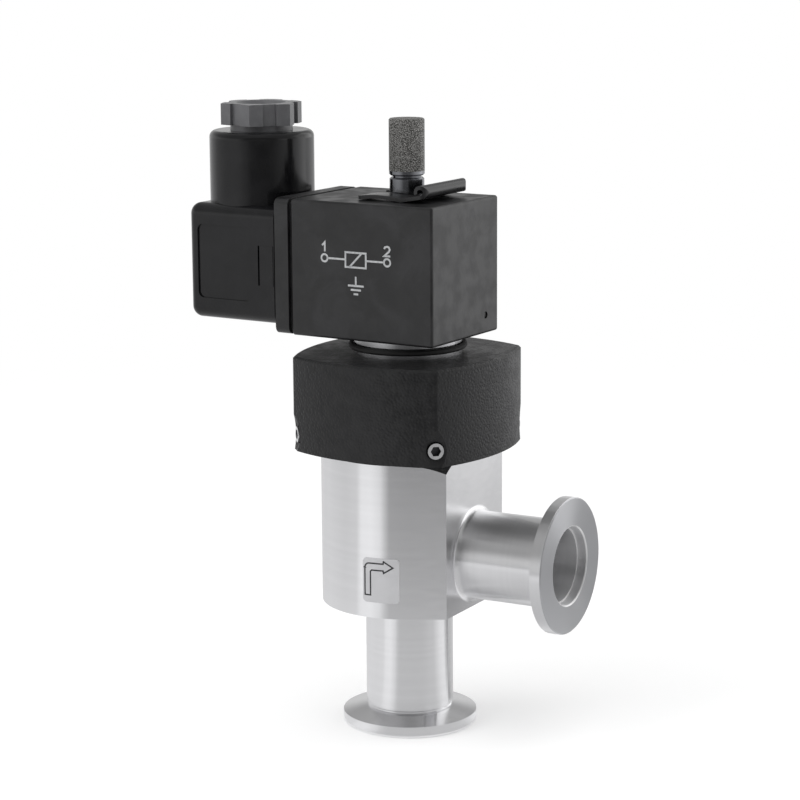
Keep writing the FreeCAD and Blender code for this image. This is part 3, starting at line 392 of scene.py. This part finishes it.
mouldedFinishes = {
    "grainedBlack": {
        "light": (0.015, 0.015, 0.0155), "dark": (0.009, 0.009, 0.0095), "rough": 0.36,
        "roughSpread": 0.10, "specular": 0.32, "grainScale": 1500.0, "mottleScale": 420.0,
        "pitShare": 0.65, "grainDepth": 0.60, "grainHeight": 0.00014, "markScale": 50.0,
        "markShare": 0.15, "markColour": (0.024, 0.024, 0.026)},
    "mouldedBlack": {
        "light": (0.014, 0.014, 0.0145), "dark": (0.008, 0.008, 0.0085), "rough": 0.34,
        "roughSpread": 0.14, "specular": 0.5, "grainScale": 2600.0, "mottleScale": 260.0,
        "pitShare": 0.3, "grainDepth": 0.20, "grainHeight": 0.00005, "markScale": 110.0,
        "markShare": 0.55, "markColour": (0.026, 0.026, 0.028)},
    "plugBlack": {
        "light": (0.006, 0.006, 0.0065), "dark": (0.004, 0.004, 0.0045), "rough": 0.13,
        "roughSpread": 0.06, "specular": 0.40, "grainScale": 3200.0, "mottleScale": 260.0,
        "pitShare": 0.2, "grainDepth": 0.06, "grainHeight": 0.00003, "markScale": 60.0,
        "markShare": 0.3, "markColour": (0.014, 0.014, 0.016)},
    "clipBlack": {
        "light": (0.018, 0.018, 0.019), "dark": (0.012, 0.012, 0.013), "rough": 0.26,
        "roughSpread": 0.08, "specular": 0.5, "grainScale": 3200.0, "mottleScale": 260.0,
        "pitShare": 0.2, "grainDepth": 0.1, "grainHeight": 0.00004, "markScale": 60.0,
        "markShare": 0.2, "markColour": (0.03, 0.03, 0.03)},
    "nutGrey": {
        "light": (0.124, 0.124, 0.130), "dark": (0.104, 0.104, 0.110), "rough": 0.28,
        "roughSpread": 0.08, "specular": 0.5, "grainScale": 3000.0, "mottleScale": 300.0,
        "pitShare": 0.2, "grainDepth": 0.12, "grainHeight": 0.00005, "markScale": 60.0,
        "markShare": 0.2, "markColour": (0.10, 0.105, 0.11)},
    "blackRubber": {
        "light": (0.016, 0.016, 0.016), "dark": (0.010, 0.010, 0.010), "rough": 0.6,
        "roughSpread": 0.1, "specular": 0.5, "grainScale": 2600.0, "mottleScale": 500.0,
        "pitShare": 0.3, "grainDepth": 0.15, "grainHeight": 0.00005, "markScale": 60.0,
        "markShare": 0.1, "markColour": (0.03, 0.03, 0.03)},
    "innerPlastic": {
        "light": (0.055, 0.055, 0.057), "dark": (0.040, 0.040, 0.042), "rough": 0.45,
        "roughSpread": 0.1, "specular": 0.5, "grainScale": 2600.0, "mottleScale": 400.0,
        "pitShare": 0.3, "grainDepth": 0.15, "grainHeight": 0.00005, "markScale": 60.0,
        "markShare": 0.1, "markColour": (0.07, 0.07, 0.07)},
    "labelFilm": {
        "light": (0.59, 0.59, 0.605), "dark": (0.55, 0.55, 0.565), "rough": 0.36,
        "roughSpread": 0.06, "specular": 0.5, "grainScale": 4200.0, "mottleScale": 200.0,
        "pitShare": 0.1, "grainDepth": 0.06, "grainHeight": 0.00002, "markScale": 90.0,
        "markShare": 0.2, "markColour": (0.62, 0.62, 0.63)},
    "labelInk": {
        "light": (0.022, 0.022, 0.024), "dark": (0.014, 0.014, 0.016), "rough": 0.4,
        "roughSpread": 0.06, "specular": 0.5, "grainScale": 4200.0, "mottleScale": 900.0,
        "pitShare": 0.1, "grainDepth": 0.05, "grainHeight": 0.00001, "markScale": 90.0,
        "markShare": 0.1, "markColour": (0.05, 0.05, 0.05)},
    "whiteInk": {
        "light": (0.50, 0.51, 0.52), "dark": (0.38, 0.39, 0.40), "rough": 0.5,
        "roughSpread": 0.1, "specular": 0.5, "grainScale": 4200.0, "mottleScale": 1500.0,
        "pitShare": 0.1, "grainDepth": 0.05, "grainHeight": 0.00001, "markScale": 90.0,
        "markShare": 0.1, "markColour": (0.55, 0.55, 0.55)},
}
for materialName, materialSpec in mouldedFinishes.items():
    materials[materialName] = makeMoulded(materialName, materialSpec)


# sintered grains and wire

def makeSintered():
    # little metal balls fused together, with painted shade in the pores between them
    spec = {"scale": 4000.0, "randomness": 0.85, "gapBand": (0.28, 0.62), "dark": (0.26, 0.255, 0.25),
            "light": (0.52, 0.51, 0.495), "poreShade": (0.05, 0.05, 0.045), "metallic": 0.65,
            "gapMetallic": -0.5, "rough": 0.5, "ballDepth": 0.9, "ballHeight": 0.00022}
    material, tree, shader = newMaterial("sinteredGrains")
    cells = textureNode(tree, "Voronoi", objectPosition(tree), spec["scale"],
                        Randomness=spec["randomness"])
    # painted shade: the pores between the balls are coloured near black
    poreShadeMask = rangeNode(tree, cells["Distance"], spec["gapBand"])
    ball = mixColour(tree, cells["Color"], spec["dark"], spec["light"])
    height = mathNode(tree, "SUBTRACT", 1.0, cells["Distance"])
    feedAll(tree, shader, {
        "Base Color": mixColour(tree, poreShadeMask, ball, spec["poreShade"]), "Roughness": spec["rough"],
        "Metallic": mathNode(tree, "MULTIPLY_ADD", poreShadeMask, spec["gapMetallic"], spec["metallic"]),
        "Normal": bumpNode(tree, height, spec["ballDepth"], spec["ballHeight"])})
    return material


def makeWinding():
    # enamelled wire laid in turns round the bobbin, with a painted highlight on each turn's crest and
    # painted shade between the turns
    spec = {"wirePitch": 0.00045, "dark": (0.20, 0.07, 0.02), "light": (0.55, 0.24, 0.09),
            "metallic": 0.7, "rough": 0.3, "wireDepth": 0.5, "wireHeight": 0.0001}
    material, tree, shader = newMaterial("enamelledWire")
    height = splitVector(tree, objectPosition(tree))["Z"]
    wave = mathNode(tree, "SINE", mathNode(tree, "MULTIPLY", height, 2 * math.pi / spec["wirePitch"]))
    # painted highlight on the crest of each turn, painted shade in the groove between turns
    wireCrestShading = mathNode(tree, "MULTIPLY_ADD", wave, 0.5, 0.5)    # from -1..1 to 0..1
    feedAll(tree, shader, {
        "Base Color": mixColour(tree, wireCrestShading, spec["dark"], spec["light"]),
        "Metallic": spec["metallic"], "Roughness": spec["rough"],
        "Normal": bumpNode(tree, wave, spec["wireDepth"], spec["wireHeight"])})
    return material


materials["sinteredGrains"] = makeSintered()
materials["enamelledWire"] = makeWinding()
print("plastics, rubber, grains and wire made")


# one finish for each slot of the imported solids, and three nodes with one of their own
slotFinishes = {
    "body_metal": "turnedAluminium", "inner_steel": "machinedSteel", "bright_steel": "brightSteel",
    "dark_steel": "gunmetal", "brass": "yellowBrass", "rubber": "blackRubber",
    "winding": "enamelledWire", "inner_plastic": "innerPlastic", "cap_black": "grainedBlack",
    "coil_plastic": "mouldedBlack", "clip_plastic": "clipBlack", "plug_plastic": "plugBlack",
    "nut_grey": "nutGrey", "sintered": "sinteredGrains", "label_sheet": "labelFilm",
}
# the pilot base takes the darker aluminium with painted shade
nodeFinishes = {"valve_body": "satinAluminium", "cap_screws": "socketSteel",
                "pilot_base": "shadePaintedAluminium"}
slotOfNode = {entry["node"]: entry["material_slot"] for entry in frame["record"]["subparts"]}

for nodeName, nodeObject in cadNodes.items():
    finishName = nodeFinishes.get(nodeName, slotFinishes[slotOfNode[nodeName]])
    for slot in nodeObject.material_slots:
        slot.link = "OBJECT"
        slot.material = materials[finishName]
print("finishes placed on", len(cadNodes), "nodes")


# springs and folded bellows, copied into pieces of their own and fixed to the valve body; the joint
# listed for each is not used here
shorteningSpec = {
    "return_spring": {"name": "shorteningReturnSpring", "joint": "valve_lift"},
    "bellows": {"name": "shorteningBellows", "joint": "valve_lift"},
    "plunger_spring": {"name": "shorteningPlungerSpring", "joint": "plunger_lift"},
}


def makeShorteningPieces():
    for nodeName, spec in shorteningSpec.items():
        mesh = cadNodes[nodeName].data.copy()
        mesh.materials.clear()
        mesh.materials.append(materials[slotFinishes[slotOfNode[nodeName]]])
        piece = bpy.data.objects.new(spec["name"], mesh)
        scene.collection.objects.link(piece)
        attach(piece, "valve")
        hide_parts(nodeName)
        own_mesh(piece)


makeShorteningPieces()
print("springs and bellows made")


# printed marks, as thin ribbons that follow what they are printed on
ribbonSpec = {"mostPieces": 10, "pieceLength": 0.6 * mm, "sharpestMiter": 0.35,
              "weldDistance": 0.000002}


def ribbonSides(points, width, closed):
    # both edges of a flat ribbon, mitred at its corners
    sides = []
    for i, point in enumerate(points):
        before = points[i - 1] if i > 0 or closed else None
        after = points[(i + 1) % len(points)] if i < len(points) - 1 or closed else None
        into = (after - point if before is None else point - before).normalized()
        outOf = into if after is None else (after - point).normalized()
        square = Vector((-into.y, into.x))
        miter = Vector((-(into.y + outOf.y), into.x + outOf.x)).normalized()
        reach = 1.0 / max(ribbonSpec["sharpestMiter"], miter.dot(square))
        sides.append((point + miter * reach * width / 2, point - miter * reach * width / 2))
    return sides


def ribbonMesh(name, strokes, width, placePoint, closedStrokes):
    # strokes are lists of flat (u, v) points; placePoint turns them into points in space
    mesh = bmesh.new()
    for number, stroke in enumerate(strokes):
        points = [Vector((u * mm, v * mm)) for u, v in stroke]
        closed = number in closedStrokes
        sides = ribbonSides(points, width * mm, closed)
        for i in range(len(points) if closed else len(points) - 1):
            j = (i + 1) % len(points)
            pieces = int((points[j] - points[i]).length / ribbonSpec["pieceLength"])
            pieces = max(1, min(ribbonSpec["mostPieces"], pieces))
            for k in range(pieces):
                near, far = k / pieces, (k + 1) / pieces
                corners = [sides[i][side].lerp(sides[j][side], share)
                           for side, share in ((0, near), (0, far), (1, far), (1, near))]
                mesh.faces.new([mesh.verts.new(placePoint(*corner)) for corner in corners])
    bmesh.ops.remove_doubles(mesh, verts=mesh.verts, dist=ribbonSpec["weldDistance"])
    bmesh.ops.recalc_face_normals(mesh, faces=mesh.faces)
    data = bpy.data.meshes.new(name)
    mesh.to_mesh(data)
    mesh.free()
    piece = bpy.data.objects.new(name, data)
    scene.collection.objects.link(piece)
    return piece


def arcPoints(cx, cy, radius, start, end, steps):
    angles = [math.radians(start + (end - start) * i / steps) for i in range(steps + 1)]
    return [(cx + radius * math.cos(a), cy + radius * math.sin(a)) for a in angles]


# the arrow on the label, in millimetres from the label's middle
flowMark = {"lineWidth": 0.31, "stemLeft": -3.70, "stemRight": -2.35, "foot": -3.32,
            "shaftLow": 2.30, "shaftHigh": 3.82, "bend": 1.1, "bendSteps": 8, "innerBevel": 0.3,
            "headStart": 0.62, "barbShift": 0.1, "tip": 2.81, "headHalf": 1.3,
            "labelRadius": 19.57, "labelAngle": 10.0, "lift": 0.03}
labelLow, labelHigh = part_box("flow_label")


def labelPoint(u, v):
    # the label lies on the round of the body, u runs round it and v up it
    angle = math.radians(flowMark["labelAngle"]) + u / (flowMark["labelRadius"] * mm)
    reach = (flowMark["labelRadius"] + flowMark["lift"]) * mm
    return Vector((reach * math.sin(angle), -reach * math.cos(angle),
                   (labelLow[2] + labelHigh[2]) / 2 + v))


def buildFlowMark():
    m = flowMark
    middle = (m["shaftLow"] + m["shaftHigh"]) / 2
    barb = m["headStart"] + m["barbShift"]
    outline = [(m["stemLeft"], m["foot"]), (m["stemLeft"], m["shaftHigh"] - m["bend"])]
    outline += arcPoints(m["stemLeft"] + m["bend"], m["shaftHigh"] - m["bend"], m["bend"],
                         180, 90, m["bendSteps"])
    outline += [(m["headStart"], m["shaftHigh"]), (barb, middle + m["headHalf"]), (m["tip"], middle),
                (barb, middle - m["headHalf"]), (m["headStart"], m["shaftLow"]),
                (m["stemRight"] + m["innerBevel"], m["shaftLow"]),
                (m["stemRight"], m["shaftLow"] - m["innerBevel"]), (m["stemRight"], m["foot"])]
    piece = ribbonMesh("flow_arrow", [outline], m["lineWidth"], labelPoint, closedStrokes=(0,))
    piece.data.materials.append(materials["labelInk"])
    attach(piece, "valve")


# the diagram on the coil's front, in millimetres from the diagram's middle
coilPrint = {"lineWidth": 0.42, "lift": 0.02, "front": -14.1, "middleX": -4.4, "middleZ": 106.0,
             "boxReach": 2.6, "boxHalf": 1.6, "ringPlace": 8.0, "ringRadius": 0.8, "ringSteps": 20,
             "one": ((-8.6, 2.7), (-7.9, 3.4), (-7.9, 1.4)),
             "two": ((7.3, 2.9), (7.5, 3.3), (8.0, 3.45), (8.5, 3.3), (8.7, 2.85), (8.5, 2.4),
                     (7.3, 1.4), (8.8, 1.4)),
             "earthTop": -3.6, "earthBars": ((-5.6, 2.0), (-6.5, 1.3), (-7.4, 0.6))}


def coilFrontPoint(u, v):
    # the coil's broad front side, drawn square and turned with the actuator
    flat = Vector((coilPrint["middleX"] * mm + u, (coilPrint["front"] - coilPrint["lift"]) * mm,
                   coilPrint["middleZ"] * mm + v))
    return Matrix.Rotation(actuatorTurn, 3, "Z") @ flat


def buildCoilPrint():
    # a plain terminal diagram: coil between terminals 1 and 2, with the earth sign
    p = coilPrint
    wide, tall, leadEnd = p["boxReach"], p["boxHalf"], p["ringPlace"] - p["ringRadius"]
    box = [(-wide, -tall), (wide, -tall), (wide, tall), (-wide, tall)]
    slash = [(-tall, -tall), (tall, tall)]
    leads = [[(side * wide, 0), (side * leadEnd, 0)] for side in (-1, 1)]
    rings = [arcPoints(side * p["ringPlace"], 0, p["ringRadius"], 0, 360, p["ringSteps"])[:-1]
             for side in (-1, 1)]
    earthStem = [(0, p["earthTop"]), (0, p["earthBars"][0][0])]
    earthBars = [[(-half, height), (half, height)] for height, half in p["earthBars"]]
    strokes = [box, slash, *leads, *rings, p["one"], p["two"], earthStem, *earthBars]
    # the box and the rings are closed
    piece = ribbonMesh("coil_diagram", strokes, p["lineWidth"], coilFrontPoint,
                       closedStrokes=(0, 4, 5))
    piece.data.materials.append(materials["whiteInk"])
    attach(piece, "coil")


buildFlowMark()
buildCoilPrint()
print("printed marks made")


# pale floor, card, room, soft light and camera

def towards(azimuth, elevation):
    # azimuth in degrees from the front towards the outlet, elevation above the floor
    a, e = math.radians(azimuth), math.radians(elevation)
    return Vector((math.sin(a) * math.cos(e), -math.cos(a) * math.cos(e), math.sin(e)))


floorSpec = {"size": 8.0, "colour": (0.80, 0.80, 0.80), "cloudColour": (0.81, 0.81, 0.81),
             "cloudScale": 3.0, "rough": 0.9, "specular": 0.1, "lift": 0.30, "farBand": (0.12, 0.5)}


def makeFloor():
    half = floorSpec["size"] / 2
    data = bpy.data.meshes.new("floor")
    data.from_pydata([(-half, -half, 0), (half, -half, 0), (half, half, 0), (-half, half, 0)],
                     [], [(0, 1, 2, 3)])
    floor = bpy.data.objects.new("floor", data)
    scene.collection.objects.link(floor)
    material, tree, shader = newMaterial("paleFloor")
    clouds = tree.nodes.new("ShaderNodeTexNoise")
    clouds.inputs["Scale"].default_value = floorSpec["cloudScale"]
    # the camera, gloss and glass see the floor lifted to white, and it keeps its shadow
    rays = tree.nodes.new("ShaderNodeLightPath").outputs
    seen = mathNode(tree, "MAXIMUM", rays["Is Camera Ray"], rays["Is Glossy Ray"])
    seen = mathNode(tree, "MAXIMUM", seen, rays["Is Transmission Ray"])
    feedAll(tree, shader, {
        "Base Color": mixColour(tree, clouds.outputs["Fac"], floorSpec["colour"],
                                floorSpec["cloudColour"]),
        "Roughness": floorSpec["rough"], "Specular IOR Level": floorSpec["specular"],
        "Emission Color": white,
        "Emission Strength": mathNode(tree, "MULTIPLY", seen, floorSpec["lift"])})
    # far from the object it is plain white to those rays, so that no horizon shows
    away = rangeNode(tree, vectorNode(tree, "LENGTH", objectPosition(tree)), floorSpec["farBand"])
    plain = tree.nodes.new("ShaderNodeEmission")
    mixed = tree.nodes.new("ShaderNodeMixShader")
    tree.links.new(mathNode(tree, "MULTIPLY", away, seen), mixed.inputs["Fac"])
    tree.links.new(shader.outputs["BSDF"], mixed.inputs[1])
    tree.links.new(plain.outputs["Emission"], mixed.inputs[2])
    output = next(node for node in tree.nodes if node.type == "OUTPUT_MATERIAL")
    tree.links.new(mixed.outputs["Shader"], output.inputs["Surface"])
    data.materials.append(material)


# grey and white card on the table, tone by direction from the object, for gloss alone
cardTones = {
    "azimuths": (-90, -75, -60, -41, -34, -20, -8, -2, 4, 30, 52, 70,
                 90, 110, 125, 134, 139, 143, 147, 153, 165, 185, 225, 269),
    "near": (.80, .80, .80, .82, .92, .95, .80, .66, .62, .62, .62, .62,
             .64, .85, .90, .60, .40, .40, .50, .55, .60, .65, .70, .80),
    "middle": (.76, .74, .70, .72, 1.0, 1.05, 1.0, .70, .46, .44, .44, .50,
               .60, .90, .85, .40, .08, .10, .60, .62, .50, .60, .70, .76),
    "far": (.60, .60, .62, .74, .76, .70, .50, .40, .20, .14, .20, .45,
            .75, 1.0, 1.4, 1.6, 1.7, 1.6, 1.15, 1.0, .95, .70, .75, .70),
    "blueTint": 1.01, "middleBand": (0.105, 0.150), "farBand": (0.30, 0.38),
    "inner": 0.0155, "outer": 3.0, "height": 0.0004, "steps": 72}


def toneRamp(tree, around, tones):
    ramp = tree.nodes.new("ShaderNodeValToRGB")
    stops = ramp.color_ramp.elements
    for number, (azimuth, tone) in enumerate(zip(cardTones["azimuths"], tones)):
        place = (azimuth + 90) / 360    # the sweep starts at -90 degrees
        stop = stops[0] if number == 0 else stops.new(place)
        stop.position = place
        stop.color = (tone, tone, tone * cardTones["blueTint"], 1.0)
    stops.remove(stops[-1])    # the end stop that a new ramp has
    tree.links.new(around, ramp.inputs["Fac"])
    return ramp.outputs["Color"]


def makeCard():
    steps = cardTones["steps"]
    corners = []
    for radius in (cardTones["inner"], cardTones["outer"]):
        for i in range(steps):
            angle = 2 * math.pi * i / steps
            corners.append((math.cos(angle) * radius, math.sin(angle) * radius, cardTones["height"]))
    faces = [(i, (i + 1) % steps, steps + (i + 1) % steps, steps + i) for i in range(steps)]
    data = bpy.data.meshes.new("tableCard")
    data.from_pydata(corners, [], faces)
    card = bpy.data.objects.new("tableCard", data)
    scene.collection.objects.link(card)
    material, tree, glow = newMaterial("tonedCard", "ShaderNodeEmission")
    position = objectPosition(tree)
    sweep = addNode(tree, "ShaderNodeTexGradient", gradient_type="RADIAL")
    tree.links.new(position, sweep.inputs["Vector"])
    away = vectorNode(tree, "LENGTH", position)
    near, middle, far = [toneRamp(tree, sweep.outputs["Fac"], cardTones[zone])
                         for zone in ("near", "middle", "far")]
    tone = mixColour(tree, rangeNode(tree, away, cardTones["middleBand"]), near, middle)
    tone = mixColour(tree, rangeNode(tree, away, cardTones["farBand"]), tone, far)
    tree.links.new(tone, glow.inputs["Color"])
    data.materials.append(material)
    card.visible_camera = False
    card.visible_diffuse = False
    card.visible_transmission = False
    card.visible_volume_scatter = False
    card.visible_shadow = False


roomSpec = {"ambient": 0.50, "wallTone": 0.85, "ceilingTone": 0.42, "ceilingBand": (0.12, 0.45),
            "frontAzimuth": 28.86, "frontTone": 0.35, "frontBand": (0.60, 0.85),
            "backTone": 0.80, "backBand": (-0.95, -0.75)}


def makeWorld():
    # white to the camera, a pale room with a greyer ceiling to gloss
    world = bpy.data.worlds.new("paleRoom")
    scene.world = world
    world.use_nodes = True
    tree = world.node_tree
    tree.nodes.clear()
    outward = tree.nodes.new("ShaderNodeTexCoord").outputs["Generated"]
    room = rangeNode(tree, splitVector(tree, outward)["Z"], roomSpec["ceilingBand"],
                     (roomSpec["wallTone"], roomSpec["ceilingTone"]))
    # the room is darker on the side of the camera stand and a little greyer opposite
    facing = vectorNode(tree, "DOT_PRODUCT", outward, tuple(towards(roomSpec["frontAzimuth"], 0.0)))
    front = rangeNode(tree, facing, roomSpec["frontBand"], (1.0, roomSpec["frontTone"]))
    back = rangeNode(tree, facing, roomSpec["backBand"], (roomSpec["backTone"], 1.0))
    room = mathNode(tree, "MULTIPLY", mathNode(tree, "MULTIPLY", room, front), back)
    rays = tree.nodes.new("ShaderNodeLightPath").outputs
    shining = mathNode(tree, "MAXIMUM", rays["Is Glossy Ray"], rays["Is Transmission Ray"])
    level = mixNode(tree, "FLOAT", shining, roomSpec["ambient"], room)
    light = tree.nodes.new("ShaderNodeBackground")
    feedAll(tree, light, {"Color": white,
                          "Strength": mixNode(tree, "FLOAT", rays["Is Camera Ray"], level, 1.0)})
    output = tree.nodes.new("ShaderNodeOutputWorld")
    tree.links.new(light.outputs["Background"], output.inputs["Surface"])


lampTarget = (0, 0, 0.07)
softboxes = {
    "leftSoftbox": {"azimuth": -38, "elevation": 35, "distance": 1.1, "size": (0.9, 0.9),
                    "power": 4.6, "glossy": False},
    "topSoftbox": {"azimuth": 20, "elevation": 80, "distance": 1.0, "size": (1.0, 1.0),
                   "power": 4.2, "glossy": False},
    "rightSoftbox": {"azimuth": 148, "elevation": 22, "distance": 1.1, "size": (1.2, 0.9),
                     "power": 2.6, "glossy": True},
}


def addSoftbox(name, spec):
    data = bpy.data.lights.new(name, "AREA")
    data.shape = "RECTANGLE"
    data.size, data.size_y = spec["size"]
    data.energy = spec["power"]
    lamp = bpy.data.objects.new(name, data)
    scene.collection.objects.link(lamp)
    direction = towards(spec["azimuth"], spec["elevation"])
    lamp.location = Vector(lampTarget) + direction * spec["distance"]
    lamp.rotation_euler = direction.to_track_quat("Z", "Y").to_euler()
    lamp.visible_glossy = spec["glossy"]


cameraSpec = {"azimuth": 28.86, "elevation": 11.14, "roll": -0.38, "distance": 0.5698,
              "target": (-0.001601, -0.000882, 0.0734), "lens": 115.92, "sensor": 36.0,
              "nearest": 0.01, "farthest": 20.0}


def makeCamera():
    back = towards(cameraSpec["azimuth"], cameraSpec["elevation"])
    right = towards(cameraSpec["azimuth"] + 90, 0.0)
    up = right.cross(-back)
    roll = math.radians(cameraSpec["roll"])
    rolledRight = right * math.cos(roll) + up * math.sin(roll)
    rolledUp = up * math.cos(roll) - right * math.sin(roll)
    data = bpy.data.cameras.new("studioCamera")
    data.lens = cameraSpec["lens"]
    data.sensor_width = cameraSpec["sensor"]
    data.sensor_fit = "HORIZONTAL"
    data.clip_start = cameraSpec["nearest"]
    data.clip_end = cameraSpec["farthest"]
    camera = bpy.data.objects.new("studioCamera", data)
    scene.collection.objects.link(camera)
    place = Matrix((rolledRight, rolledUp, back)).transposed().to_4x4()
    place.translation = Vector(cameraSpec["target"]) + back * cameraSpec["distance"]
    camera.matrix_world = place
    scene.camera = camera


makeFloor()
makeCard()
makeWorld()
for softboxName, softboxSpec in softboxes.items():
    addSoftbox(softboxName, softboxSpec)
makeCamera()
print("stage, lights and camera made")
